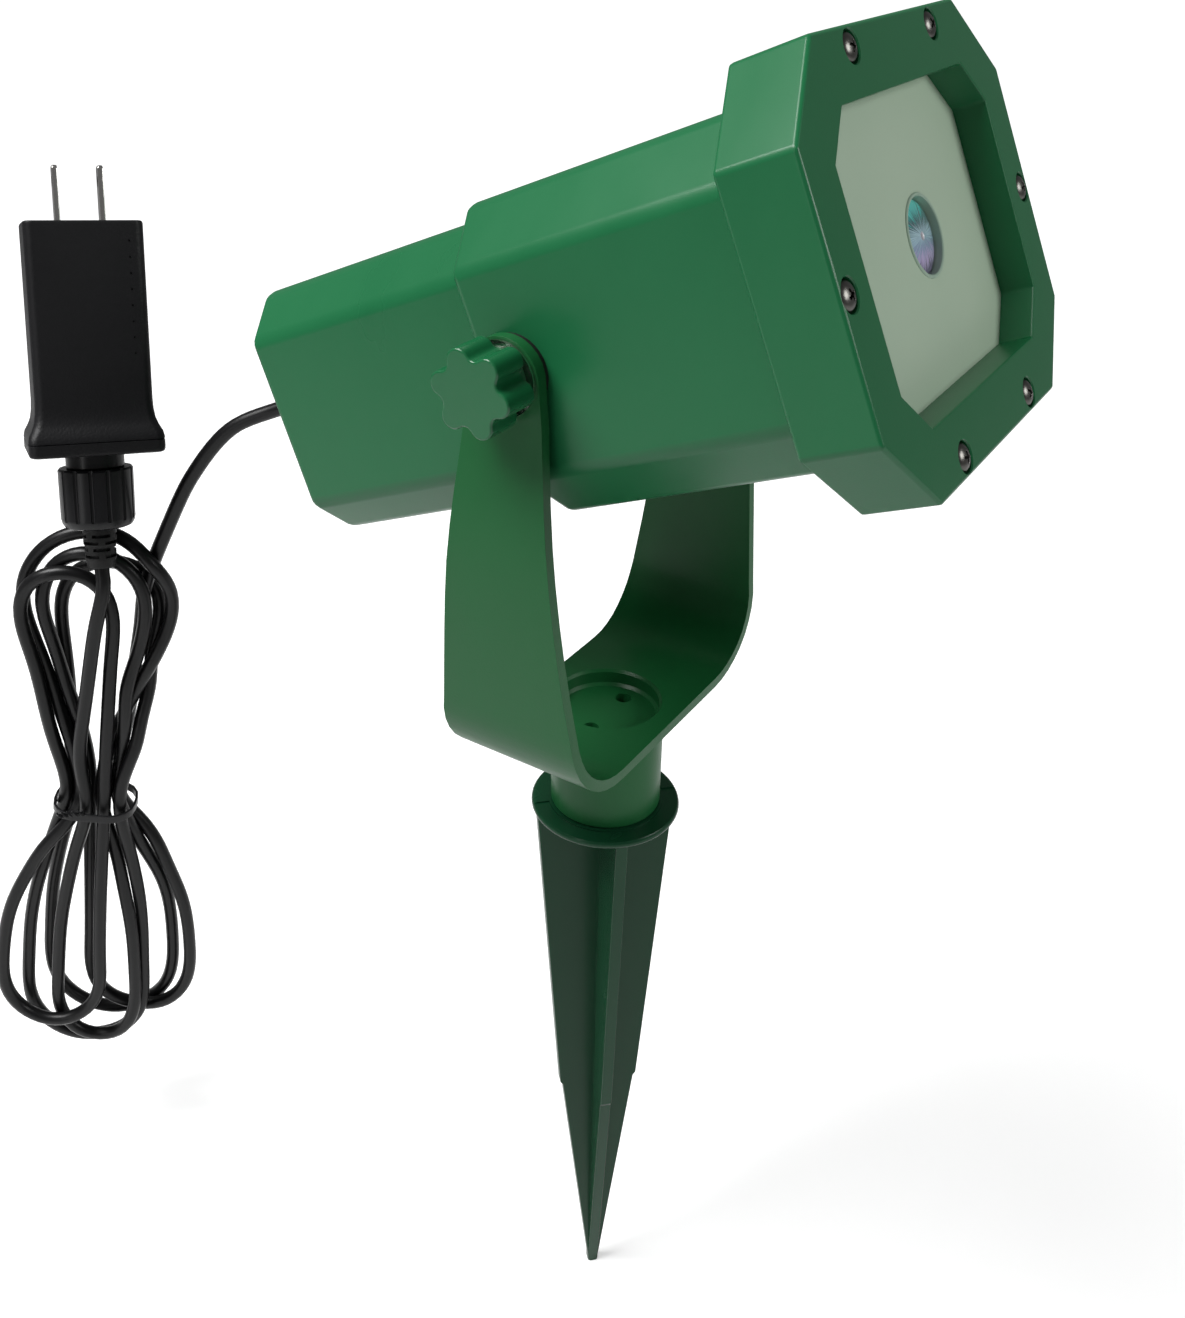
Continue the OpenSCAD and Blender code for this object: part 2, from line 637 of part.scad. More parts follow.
ground_spike();
yoke_bracket();
front_housing();
rear_cover();
front_bezel();
bezel_screws();
window_pane();
pane_gasket();
lens_panel();
projection_lens();
lens_ring();
ir_receiver();
optics_carrier();
carrier_screws();
heat_sink();
laser_green();
laser_red();
grating_motor();
grating_shaft();
grating_disc();
control_board();
board_parts();
board_screws();
cable_gland();
gland_nut();
inner_lead();
insert_left();
insert_right();
friction_washer_left();
friction_washer_right();
knob_washer_left();
knob_washer_right();
knob_left();
knob_right();
knob_stud_left();
knob_stud_right();
power_lead();
cord_hank();
cord_tie();
plug_strain_relief();
coupling_nut();
adapter_socket();
adapter_base();
adapter_case();
adapter_blades();
adapter_board();
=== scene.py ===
import json
import math

import bmesh
import bpy
import numpy as np
from mathutils import Matrix, Vector


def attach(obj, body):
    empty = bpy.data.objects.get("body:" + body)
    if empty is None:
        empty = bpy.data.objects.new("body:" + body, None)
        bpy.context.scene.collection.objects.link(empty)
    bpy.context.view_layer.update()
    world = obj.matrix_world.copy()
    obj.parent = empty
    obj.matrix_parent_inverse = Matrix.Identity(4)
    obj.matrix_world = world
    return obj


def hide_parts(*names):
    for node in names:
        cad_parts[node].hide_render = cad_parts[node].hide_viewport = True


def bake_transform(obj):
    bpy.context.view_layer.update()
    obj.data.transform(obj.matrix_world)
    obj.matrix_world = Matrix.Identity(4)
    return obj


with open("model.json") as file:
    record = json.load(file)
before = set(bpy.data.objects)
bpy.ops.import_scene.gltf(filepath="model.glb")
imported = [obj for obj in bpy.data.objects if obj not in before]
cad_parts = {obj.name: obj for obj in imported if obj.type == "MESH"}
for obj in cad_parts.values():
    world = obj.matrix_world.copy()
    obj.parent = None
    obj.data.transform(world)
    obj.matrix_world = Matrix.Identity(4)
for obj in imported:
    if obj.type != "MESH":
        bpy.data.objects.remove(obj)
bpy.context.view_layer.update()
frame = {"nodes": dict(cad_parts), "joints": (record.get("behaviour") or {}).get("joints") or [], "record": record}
joint = {j["name"]: j for j in frame["joints"]}
pivot = Vector(joint["tilt"]["pos_m"])
scene = bpy.context.scene
scene.view_settings.view_transform = "Standard"

# ---- Camera
# A short lens close to the lamp, looking down on it from the left.
eye = bpy.data.cameras.new("eye")
eye.sensor_width = 24
eye.lens = 24.745
eye.shift_x, eye.shift_y = 0.08, -0.13
eye.clip_start = 0.01
camera = bpy.data.objects.new("camera", eye)
camera.location = (-0.26811, -0.15542, 0.42902)
camera.rotation_euler = [math.radians(a) for a in (65.225, 0.746, -54.375)]
scene.collection.objects.link(camera)
scene.camera = camera

# ---- Power cord
# A round two-core lead in black PVC. It leaves the gland, drops to the hank and is wound there in five long
# turns, pinched at the waist by a twist tie. The last strand runs up the middle into the plug.
cord_d = 0.0045
lead = [(0, 88.9, 293.2), (0, 98, 289.4), (-4, 112, 284), (-11, 125, 277), (-17.5, 136, 262),
        (-22.5, 144.5, 244), (-27, 152, 225)]
hank_place = (Matrix.Translation((-0.0382, 0.1572, 0.2346)) @ Matrix.Rotation(math.radians(-53), 4, "Z")
              @ Matrix.Rotation(math.radians(7.5), 4, "Y"))
plug_place = (Matrix.Translation((-0.0347, 0.1584, 0.2708)) @ Matrix.Rotation(math.radians(-32), 4, "Z")
              @ Matrix.Rotation(math.radians(-15), 4, "X") @ Matrix.Rotation(math.radians(5.7), 4, "Y"))
relief_low, cord_top = -35.2, -6
# One turn a row, in millimetres on the hank: left, right, end and depth of the bottom loop, then of the arch
turns = [((-5, 29.7, -183, 3), (-19, 13, 3.5, -0.6)),
         ((-20, 23, -189, 7), (-15, 16, -3, 7.4)),
         ((-26, 14, -196, 0), (-25, 3.5, -2, -3)),
         ((-32.6, 0.3, -182, -7), (-26, 20.7, 9, 3.6)),
         ((-14.7, 12, -191.5, -4), None)]
waist_z = -88
# Where each strand passes through the waist
slots = [(3.6, 4.8), (-5.6, 4.6), (4.4, 0.3), (-9.6, 3.3), (6, -3.6), (-11.6, -1), (1.3, -4.8), (-7, -1.4),
         (-0.8, 0.2), (-4, -5.4)]


def swell(loop, slot_a, slot_b):
    """One loop of the hank: out from slot a on the right, round its end and back to slot b on the left."""
    left, right, end, depth = loop
    c, r = (left + right) / 2, (right - left) / 2
    up = 1 if end > waist_z else -1
    tall = 1.1 * r
    mid = end - up * tall
    legs = [(0.3, 0.22), (0.7, 0.66), (0.92, 0.94)] if up > 0 else [(0.24, 0.42), (0.55, 0.85), (0.82, 0.99)]
    sides = [[(slot[0] + (c + side * r - slot[0]) * share, slot[1] + (depth - slot[1]) * share,
               waist_z + (mid - waist_z) * way) for way, share in legs]
             for slot, side in ((slot_a, 1), (slot_b, -1))]
    arc = [(c + r * math.cos(a), depth, mid + up * tall * math.sin(a))
           for a in (math.radians(k) for k in (10, 40, 65, 90, 115, 140, 170))]
    return sides[0] + arc + sides[1][::-1]


def wound():
    """The strand's points on the hank, in millimetres, from the lead's end to the plug."""
    points = [(10.5, 6.5, -22), (7.5, 6, -52)]
    for k, (bottom, arch) in enumerate(turns):
        a, b = slots[2 * k], slots[2 * k + 1]
        points += [(*a, waist_z), *swell(bottom, a, b), (*b, waist_z)]
        if arch:
            points += swell(arch, slots[2 * k + 2], b)[::-1]
    return points + [(-6.5, -5.4, -70), (-3.6, -7, -42), (-0.6, -8.6, -18)]


def smooth(points, step):
    """Points a step apart on a smooth curve through the given ones."""
    p = np.array(points, float)
    p = np.vstack([2 * p[0] - p[1], p, 2 * p[-1] - p[-2]])
    dense = []
    for a, b, c, d in zip(p[:-3], p[1:-2], p[2:-1], p[3:]):
        n = max(2, int(np.linalg.norm(c - b) / (step / 4)))
        t = (np.arange(n) / n)[:, None]
        dense.append(0.5 * (2 * b + (c - a) * t + (2 * a - 5 * b + 4 * c - d) * t**2
                            + (3 * b - a - 3 * c + d) * t**3))
    dense = np.vstack(dense + [p[-2:-1]])
    way = np.concatenate([[0], np.cumsum(np.linalg.norm(np.diff(dense, axis=0), axis=1))])
    even = np.linspace(0, way[-1], int(way[-1] / step) + 1)
    return np.column_stack([np.interp(even, way, dense[:, k]) for k in range(3)])


def settle(line, free, gap, rounds):
    """Pushes strands a gap apart and evens the bends, as the springy jacket does, where the line is free."""
    p = line.copy()
    n = len(p)
    far = np.abs(np.subtract.outer(np.arange(n), np.arange(n))) > 4
    for _ in range(rounds):
        between = p[:, None] - p[None]
        dist = np.sqrt((between**2).sum(2)) + 1e-9
        near = (dist < gap) & far
        push = (between * (near * (gap - dist) / dist)[..., None]).sum(1) / 2
        p += np.clip(push, -gap / 6, gap / 6) * free[:, None]
        ease = np.zeros_like(p)
        ease[2:-2] = (-p[:-4] + 4 * p[1:-3] - 6 * p[2:-2] + 4 * p[3:-1] - p[4:]) / 16
        p += ease * free[:, None]
    return p


hank_points = [tuple(1000 * (hank_place @ (Vector(q) / 1000))) for q in wound()]
plug_points = [tuple(1000 * (plug_place @ Vector((0, 0, z / 1000))))
               for z in (relief_low - 6, relief_low, cord_top)]
step = 2.6
line = smooth([Vector(q) for q in lead] + hank_points + plug_points, step)
# The lead keeps its place while the turns settle, and so does the end inside the plug
loose = np.ones(len(line))
loose[:len(smooth([Vector(q) for q in lead], step)) - 3] = 0
loose[-14:] = 0
strand = settle(line, loose, 1000 * cord_d * 1.02, 110) / 1000
line_curve = bpy.data.curves.new("cord_line", "CURVE")
line_curve.dimensions = "3D"
line_curve.bevel_depth = cord_d / 2
line_curve.bevel_resolution = 3
line_curve.use_fill_caps = True
spline = line_curve.splines.new("POLY")
spline.points.add(len(strand) - 1)
for point, place in zip(spline.points, strand):
    point.co = (*place, 1)
drawn = bpy.data.objects.new("cord_drawn", line_curve)
scene.collection.objects.link(drawn)
bpy.context.view_layer.update()
cord_mesh = bpy.data.meshes.new_from_object(drawn.evaluated_get(bpy.context.evaluated_depsgraph_get()))
bpy.data.objects.remove(drawn)
cord_mesh.name = "power_cord"
cord_mesh.polygons.foreach_set("use_smooth", [True] * len(cord_mesh.polygons))
cord = bpy.data.objects.new("power_cord", cord_mesh)
scene.collection.objects.link(cord)


def node_material(name, color, roughness, **extra):
    """A Principled material with constant values on the shader's own sockets."""
    made = bpy.data.materials.new(name)
    made.use_nodes = True
    shader = made.node_tree.nodes["Principled BSDF"]
    shader.inputs["Base Color"].default_value = (*color, 1)
    shader.inputs["Roughness"].default_value = roughness
    for socket, value in extra.items():
        shader.inputs[socket.replace("_", " ").title().replace("Ior", "IOR")].default_value = value
    return made


def tree_of(made):
    """A material's nodes, its links and its Principled shader."""
    return made.node_tree.nodes, made.node_tree.links, made.node_tree.nodes["Principled BSDF"]


def new_group(name, inputs, outputs):
    """An empty shader node group with named sockets, its two end nodes and an Object coordinate."""
    group = bpy.data.node_groups.new(name, "ShaderNodeTree")
    for socket, kind, value in inputs:
        made = group.interface.new_socket(socket, in_out="INPUT", socket_type=kind)
        made.default_value = value
    for socket, kind in outputs:
        group.interface.new_socket(socket, in_out="OUTPUT", socket_type=kind)
    start_node = group.nodes.new("NodeGroupInput")
    end_node = group.nodes.new("NodeGroupOutput")
    place = group.nodes.new("ShaderNodeTexCoord")
    return group, start_node, end_node, place.outputs["Object"]


# Moulded surfaces share one grain: fine pits over soft, stretched flow marks
grain, g_in, g_out, g_place = new_group("moulded grain", [("Pit Scale", "NodeSocketFloat", 2600)],
                                        [("Height", "NodeSocketFloat"), ("Flow", "NodeSocketFloat")])
pits = grain.nodes.new("ShaderNodeTexNoise")
pits.inputs["Detail"].default_value = 3
flow = grain.nodes.new("ShaderNodeTexNoise")
flow.inputs["Scale"].default_value = 18
flow.inputs["Detail"].default_value = 4
flow.inputs["Roughness"].default_value = 0.6
stretch = grain.nodes.new("ShaderNodeVectorMath")
stretch.operation = "MULTIPLY"
stretch.inputs[1].default_value = (1, 2, 1)
grain.links.new(g_place, stretch.inputs[0])
grain.links.new(stretch.outputs[0], flow.inputs["Vector"])
grain.links.new(g_place, pits.inputs["Vector"])
grain.links.new(g_in.outputs["Pit Scale"], pits.inputs["Scale"])
grain.links.new(pits.outputs["Fac"], g_out.inputs["Height"])
grain.links.new(flow.outputs["Fac"], g_out.inputs["Flow"])


def moulded(name, color, light, roughness, pit_scale=2600, bump=0.15, depth=0.0001, rough_spread=0.08,
            **extra):
    """Moulded plastic or plated metal: two close tones mixed by flow marks, pitted, of uneven roughness."""
    made = node_material(name, color, roughness, **extra)
    nodes, links, shader = tree_of(made)
    texture = nodes.new("ShaderNodeGroup")
    texture.node_tree = grain
    texture.inputs["Pit Scale"].default_value = pit_scale
    tone = nodes.new("ShaderNodeMix")
    tone.data_type = "RGBA"
    tone.inputs["A"].default_value = (*color, 1)
    tone.inputs["B"].default_value = (*light, 1)
    links.new(texture.outputs["Flow"], tone.inputs["Factor"])
    links.new(tone.outputs["Result"], shader.inputs["Base Color"])
    spread = nodes.new("ShaderNodeMapRange")
    spread.inputs["To Min"].default_value = roughness - rough_spread
    spread.inputs["To Max"].default_value = roughness + rough_spread
    links.new(texture.outputs["Flow"], spread.inputs["Value"])
    links.new(spread.outputs["Result"], shader.inputs["Roughness"])
    pitted = nodes.new("ShaderNodeBump")
    pitted.inputs["Strength"].default_value = bump
    pitted.inputs["Distance"].default_value = depth
    links.new(texture.outputs["Height"], pitted.inputs["Height"])
    links.new(pitted.outputs["Normal"], shader.inputs["Normal"])
    return made


jacket = moulded("black_pvc", (0.003, 0.003, 0.0032), (0.006, 0.006, 0.0065), 0.32, pit_scale=900, bump=0.12,
                 specular_ior_level=0.26)
cord_mesh.materials.append(jacket)

# ---- Floor and lights
# A wide white floor under a pale sky and three soft boxes, as in a small studio. Seen directly, the floor and
# the sky are brighter than the light they give, like overexposed paper.
floor_mesh = bpy.data.meshes.new("floor")
ground = bmesh.new()
bmesh.ops.create_grid(ground, x_segments=1, y_segments=1, size=20)
ground.to_mesh(floor_mesh)
ground.free()
floor = bpy.data.objects.new("floor", floor_mesh)
scene.collection.objects.link(floor)
paper = node_material("white_paper", (0.8, 0.8, 0.8), 0.9, emission_color=(1, 1, 1, 1))
nodes, links, shader = tree_of(paper)
path = nodes.new("ShaderNodeLightPath")
spread = nodes.new("ShaderNodeTexCoord")
away = nodes.new("ShaderNodeVectorMath")
away.operation = "LENGTH"
links.new(spread.outputs["Object"], away.inputs[0])
ramp = nodes.new("ShaderNodeMapRange")
for socket, value in (("From Min", 0.3), ("From Max", 1.6), ("To Min", 0.36), ("To Max", 0.95)):
    ramp.inputs[socket].default_value = value
links.new(away.outputs["Value"], ramp.inputs["Value"])
glow = nodes.new("ShaderNodeMath")
glow.operation = "MULTIPLY"
links.new(ramp.outputs["Result"], glow.inputs[1])
links.new(path.outputs["Is Camera Ray"], glow.inputs[0])
links.new(glow.outputs[0], shader.inputs["Emission Strength"])
floor_mesh.materials.append(paper)
world = bpy.data.worlds.new("studio")
world.use_nodes = True
nodes, links = world.node_tree.nodes, world.node_tree.links
sky = nodes["Background"]
sky.inputs["Color"].default_value = (1, 1, 1, 1)
path = nodes.new("ShaderNodeLightPath")
level = nodes.new("ShaderNodeMapRange")
level.inputs["To Min"].default_value = 0.17
level.inputs["To Max"].default_value = 1
links.new(path.outputs["Is Camera Ray"], level.inputs["Value"])
links.new(level.outputs["Result"], sky.inputs["Strength"])
scene.world = world


def soft_box(name, place, aim, size, power):
    """A rectangular area light of a power in watts, turned to what it lights."""
    lamp = bpy.data.lights.new(name, "AREA")
    lamp.shape = "RECTANGLE"
    lamp.size, lamp.size_y = size
    lamp.energy = power
    holder = bpy.data.objects.new(name, lamp)
    holder.location = place
    holder.rotation_euler = (Vector(aim) - Vector(place)).to_track_quat("-Z", "Y").to_euler()
    scene.collection.objects.link(holder)


soft_box("top_box", (-0.45, 0.45, 1.25), (0, 0, 0.3), (0.7, 0.7), 24)
soft_box("front_box", (0.35, -1.15, 0.85), (0, 0, 0.35), (0.6, 0.5), 8)
soft_box("left_box", (-1.25, 0.1, 0.5), (0, 0, 0.3), (0.12, 0.9), 1.4)

# ---- Ground spike
# One moulding in dark green nylon: two crossed blades that taper to the tip, a flange with a round rim that
# stops it at the soil, and a peg for the yoke. The mould's parting line leaves half of the flange lower.
blade_w, shoulder_w, shoulder_z, tip_w, blade_t = 39, 24, 85, 2.8, 3.4
flange_r, flange_t, flange_z, rim_r, peg_r, peg_h = 20.5, 2.8, 192, 1.4, 12.5, 20


def corners_of(grown):
    """The vertices among what an extrusion gives back."""
    return [g for g in grown if isinstance(g, bmesh.types.BMVert)]


def stacked(rings, hollow=False):
    """A solid whose wall is drawn out from outline to outline. A hollow one ends on its first outline."""
    shape = bmesh.new()
    points, z = rings[0]
    ring = [shape.verts.new((x, y, z)) for x, y in points]
    edges = [shape.edges.new(pair) for pair in zip(ring, ring[1:] + ring[:1])]
    for points, z in rings[1:] + rings[:1] * hollow:
        grown = bmesh.ops.extrude_edge_only(shape, edges=edges)["geom"]
        edges = [g for g in grown if isinstance(g, bmesh.types.BMEdge) and not set(g.verts) & set(ring)]
        drawn_out = {}
        for v in corners_of(grown):
            old = next(e.other_vert(v) for e in v.link_edges if e.other_vert(v) in ring)
            drawn_out[ring.index(old)] = v
        ring = [drawn_out[k] for k in range(len(points))]
        for v, (x, y) in zip(ring, points):
            v.co = (x, y, z)
    if hollow:
        bmesh.ops.remove_doubles(shape, verts=shape.verts, dist=1e-4)
    else:
        bmesh.ops.holes_fill(shape, edges=shape.edges)
    bmesh.ops.recalc_face_normals(shape, faces=shape.faces)
    return shape


def turned(profile, steps=96, sweep=360, start=0):
    """A solid of revolution about z from a profile of radius and height, closed at its poles."""
    shape = bmesh.new()
    line = [shape.verts.new((r, 0, z)) for r, z in profile]
    edges = [shape.edges.new(pair) for pair in zip(line, line[1:])]
    if profile[0][0] > 0 or profile[-1][0] > 0:
        edges.append(shape.edges.new((line[-1], line[0])))
    if sweep < 360:
        bmesh.ops.contextual_create(shape, geom=edges)
    bmesh.ops.rotate(shape, verts=shape.verts, matrix=Matrix.Rotation(math.radians(start), 3, "Z"))
    bmesh.ops.spin(shape, geom=list(shape.verts) + list(shape.edges) + list(shape.faces), cent=(0, 0, 0),
                   axis=(0, 0, 1), angle=math.radians(sweep), steps=steps, use_merge=sweep == 360)
    bmesh.ops.remove_doubles(shape, verts=shape.verts, dist=1e-4)
    bmesh.ops.dissolve_degenerate(shape, edges=shape.edges, dist=1e-4)
    bmesh.ops.recalc_face_normals(shape, faces=shape.faces)
    return shape


def bar(r, z0, z1, place=Matrix(), steps=48):
    """A round bar from z0 to z1 in the frame that place gives."""
    shape = turned([(0, z0), (r, z0), (r, z1), (0, z1)], steps)
    bmesh.ops.transform(shape, matrix=place, verts=shape.verts)
    return shape


def together(shapes):
    """Loose shapes put into one."""
    whole = bmesh.new()
    for shape in shapes:
        mesh = bpy.data.meshes.new("part")
        shape.to_mesh(mesh)
        shape.free()
        whole.from_mesh(mesh)
        bpy.data.meshes.remove(mesh)
    return whole


def carve(shape, tool, how="DIFFERENCE"):
    """Cuts the tool out of the shape, or joins it on."""
    both = []
    for solid in (shape, tool):
        mesh = bpy.data.meshes.new("solid")
        solid.to_mesh(mesh)
        solid.free()
        both.append(bpy.data.objects.new("solid", mesh))
        scene.collection.objects.link(both[-1])
    cut = both[0].modifiers.new("cut", "BOOLEAN")
    cut.operation = how
    cut.solver = "EXACT"
    cut.object = both[1]
    bpy.context.view_layer.update()
    result = bmesh.new()
    result.from_object(both[0], bpy.context.evaluated_depsgraph_get())
    for solid in both:
        bpy.data.meshes.remove(solid.data)
    bmesh.ops.remove_doubles(result, verts=result.verts, dist=1e-3)
    bmesh.ops.dissolve_degenerate(result, edges=result.edges, dist=1e-3)
    return result


def soften(shape, width, pick=None, segments=3, angle=30):
    """Rounds the sharp edges, or those of them that pick chooses by their middle."""
    edges = [e for e in shape.edges if len(e.link_faces) == 2 and e.calc_face_angle(0) > math.radians(angle)
             and (pick is None or pick((e.verts[0].co + e.verts[1].co) / 2, e))]
    bmesh.ops.bevel(shape, geom=edges, offset=width, offset_type="OFFSET", affect="EDGES", segments=segments,
                    profile=0.5, material=-1, clamp_overlap=True)
    return shape


def finished(shape, place, name, finish, slot, body, *nodes, crease=32):
    """Sets a shape made in millimetres in its place as a piece of the model, with its finish and its body."""
    bmesh.ops.remove_doubles(shape, verts=shape.verts, dist=1e-4)
    bmesh.ops.recalc_face_normals(shape, faces=shape.faces)
    bmesh.ops.transform(shape, matrix=place @ Matrix.Scale(0.001, 4), verts=shape.verts)
    mesh = bpy.data.meshes.new(name)
    shape.to_mesh(mesh)
    shape.free()
    mesh.polygons.foreach_set("use_smooth", [True] * len(mesh.polygons))
    mesh.set_sharp_from_angle(angle=math.radians(crease))
    mesh.materials.append(finish)
    piece = bpy.data.objects.new(name, mesh)
    scene.collection.objects.link(piece)
    even = piece.modifiers.new("even shading", "WEIGHTED_NORMAL")
    even.keep_sharp = True
    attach(piece, body)
    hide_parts(*nodes)


green_gloss = moulded("green_nylon_gloss", (0.004, 0.036, 0.015), (0.006, 0.046, 0.019), 0.26, bump=0.05,
                      rough_spread=0.05, specular_ior_level=0.18)
half = [(tip_w / 2, 0), (shoulder_w / 2 - 0.8, shoulder_z - 1), (shoulder_w / 2, shoulder_z),
        (blade_w / 2, flange_z - flange_t + 0.2)]
blades = []
for turn in (45, 135):
    blade = bmesh.new()
    outline = half + [(-x, z) for x, z in reversed(half)]
    face = blade.faces.new([blade.verts.new((x, -blade_t / 2, z)) for x, z in outline])
    grown = bmesh.ops.extrude_face_region(blade, geom=[face])["geom"]
    bmesh.ops.translate(blade, vec=(0, blade_t, 0), verts=corners_of(grown))
    bmesh.ops.recalc_face_normals(blade, faces=blade.faces)
    soften(blade, 0.45, lambda mid, e: mid.z < flange_z - flange_t, 2, 20)
    bmesh.ops.rotate(blade, verts=blade.verts, matrix=Matrix.Rotation(math.radians(turn), 3, "Z"))
    blades.append(blade)
rim = [(flange_r - rim_r + rim_r * math.cos(a), flange_z - rim_r + rim_r * math.sin(a))
       for a in (math.radians(k) for k in range(-90, 91, 15))]
peg_top = flange_z + peg_h
disc = turned([(0, flange_z - flange_t), *rim, (peg_r, flange_z), (peg_r, peg_top - 0.8),
               (peg_r - 0.8, peg_top), (0, peg_top)])
step_r, step_z = 15.9, flange_z - 0.4
step_down = turned([(step_r, step_z), (flange_r + 2, step_z), (flange_r + 2, flange_z + 1),
                    (step_r, flange_z + 1)], 48, 180, 135)
spike = carve(carve(blades[0], blades[1], "UNION"), carve(disc, step_down), "UNION")
finished(spike, Matrix(), "spike", green_gloss, "green_gloss", "stake", "ground_spike")

# ---- Yoke
# A moulded strap bent up into two arms, with a hub under its plate that turns on the peg. The round recess
# over the hub has two drain holes. Fine texture, softened rims.
strap_t, arm_x, arm_bow, arm_r, bend_r = 2.9, 48, 3, 9.2, 23
pivot_mm = 1000 * pivot.z
plate_z, bow_h = pivot_mm - 106, 46
plate_b = plate_z - strap_t
hub_r, hub_b, cup_r, cup_z, roof_z = 15.1, 192.3, 13.8, 219.3, 216.7
# How far below the pivot, and half the strap's width there
arm_widths = [(-108.9, 19.5), (-102, 19.5), (-92, 19), (-72, 16.6), (-44, 13.8), (-14, 10.4), (0, 9.2)]


def strap_half(z):
    """Half the strap's width at a height: straight tapers, then the round end over the pivot."""
    drop = z - pivot_mm
    if drop > 0:
        return math.sqrt(max(arm_r**2 - drop**2, 0))
    return float(np.interp(drop, [d for d, _ in arm_widths], [w for _, w in arm_widths]))


crown = [(arm_x, pivot_mm + arm_r * math.sin(math.radians(a))) for a in (90, 84, 76, 66, 54, 40, 26, 12, 0)]
bow = [(arm_x + arm_bow * math.sin(math.pi / 2 * t) ** 1.2, pivot_mm - arm_r - (bow_h - arm_r) * t)
       for t in (0.01, 0.25, 0.5, 0.75, 1)]
lower = [(arm_x + arm_bow * (1 - t**1.6), pivot_mm - bow_h + (plate_b + bend_r - pivot_mm + bow_h) * t)
         for t in (0.25, 0.5, 0.75, 1)]
bend = [(arm_x - bend_r + bend_r * math.cos(a), plate_b + bend_r - bend_r * math.sin(a))
        for a in (math.radians(k) for k in range(10, 91, 10))]
side = crown + bow + lower + bend
strap = bmesh.new()
chain = [strap.verts.new((x, -1, z)) for x, z in side + [(-x, z) for x, z in reversed(side)]]
rails = [strap.edges.new(pair) for pair in zip(chain, chain[1:])]
swept = bmesh.ops.extrude_edge_only(strap, edges=rails)["geom"]
bmesh.ops.translate(strap, vec=(0, 2, 0), verts=corners_of(swept))
for v in strap.verts:
    v.co.y *= strap_half(v.co.z)
bmesh.ops.remove_doubles(strap, verts=strap.verts, dist=1e-3)
bmesh.ops.recalc_face_normals(strap, faces=strap.faces)
if min(strap.faces, key=lambda f: f.calc_center_median().z).normal.z > 0:
    bmesh.ops.reverse_faces(strap, faces=strap.faces)
bmesh.ops.solidify(strap, geom=strap.faces, thickness=strap_t)
bmesh.ops.recalc_face_normals(strap, faces=strap.faces)
soften(strap, 0.7, None, 3, 50)
yoke = carve(strap, bar(hub_r, hub_b, plate_b + 1, steps=96), "UNION")
across = Matrix.Translation((0, 0, pivot_mm)) @ Matrix.Rotation(math.radians(90), 4, "Y")
drains = [bar(2.2, roof_z - 1, cup_z + 1, Matrix.Translation((x, 0, 0)), 32) for x in (-8.5, 8.5)]
cup = turned([(0, cup_z), (cup_r - 0.8, cup_z), (cup_r, cup_z + 0.8), (cup_r, plate_z - 0.7),
              (cup_r + 0.7, plate_z), (cup_r + 0.7, plate_z + 6), (0, plate_z + 6)])
peg_bore = bar(12.58, hub_b - 1, roof_z, steps=96)
pivot_bore = bar(6.08, -arm_x - 2, arm_x + 2, across, 64)
for tool in (cup, peg_bore, together(drains), pivot_bore):
    yoke = carve(yoke, tool)


def hub_rims(mid, e):
    """Chooses the hub's lower rims and the corner where the hub meets the strap's plate."""
    return mid.z < hub_b + 0.1 or (abs(mid.z - plate_b) < 0.05 and mid.xy.length < hub_r + 0.3)


soften(yoke, 0.45, hub_rims, 2, 60)
green_yoke = moulded("green_nylon_satin", (0.007, 0.082, 0.022), (0.009, 0.094, 0.027), 0.36, pit_scale=1500,
                     bump=0.22, specular_ior_level=0.2, coat_weight=0.04, coat_roughness=0.25)
finished(yoke, Matrix(), "yoke_strap", green_yoke, "green_yoke", "yoke", "yoke_bracket")

# ---- Head shells
# Three octagonal mouldings in satin green ABS: the front housing with its trunnions, the smaller rear cover
# that slides into it, and the bezel, a deep frame whose skirt covers the housing's flange. Places along the
# head are measured forward from the pivot.
head_place = Matrix.Translation(pivot) @ Matrix.Rotation(math.radians(-22.5), 4, "X")
nose = head_place @ Matrix.Rotation(math.radians(90), 4, "X")
front, rear, bezel, window = (43.6, 36.3, 12.6), (37.1, 32.6, 10.3), (54, 44, 17.3), (41, 30.4, 9.2)
flange, skirt_in, seat, wall = (52.15, 42.15, 16.7), (52.3, 42.3, 16.7), (46.1, 35.9, 12.2), 2.6
tail_s, rear_s, skirt_s, flange_s, lip_s = -84, -8.5, 63.9, 64.0, 67.1
pane_s, well_s, front_s = 73.1, 79.1, 80.5
screw_spots = [(-50, 0), (50, 0)] + [(x, y) for x in (-21, 21) for y in (-39.9, 39.9)]


def octagon(x, y, cut, inset=0):
    """The eight corners of a box with cut corners, drawn in by an inset."""
    x, y, cut = x - inset, y - inset, cut - 0.586 * inset
    return [(x, y - cut), (x - cut, y), (cut - x, y), (-x, y - cut),
            (-x, cut - y), (cut - x, -y), (x - cut, -y), (x, cut - y)]


def outside(size, low, high):
    """Chooses the edges on the outside of an octagonal shell whose middles lie between two stations."""
    def pick(mid, e):
        return low - 0.01 < mid.z < high + 0.01 and all(
            max(abs(v.co.x) / size[0], abs(v.co.y) / size[1]) > 0.985 for v in e.verts)
    return pick


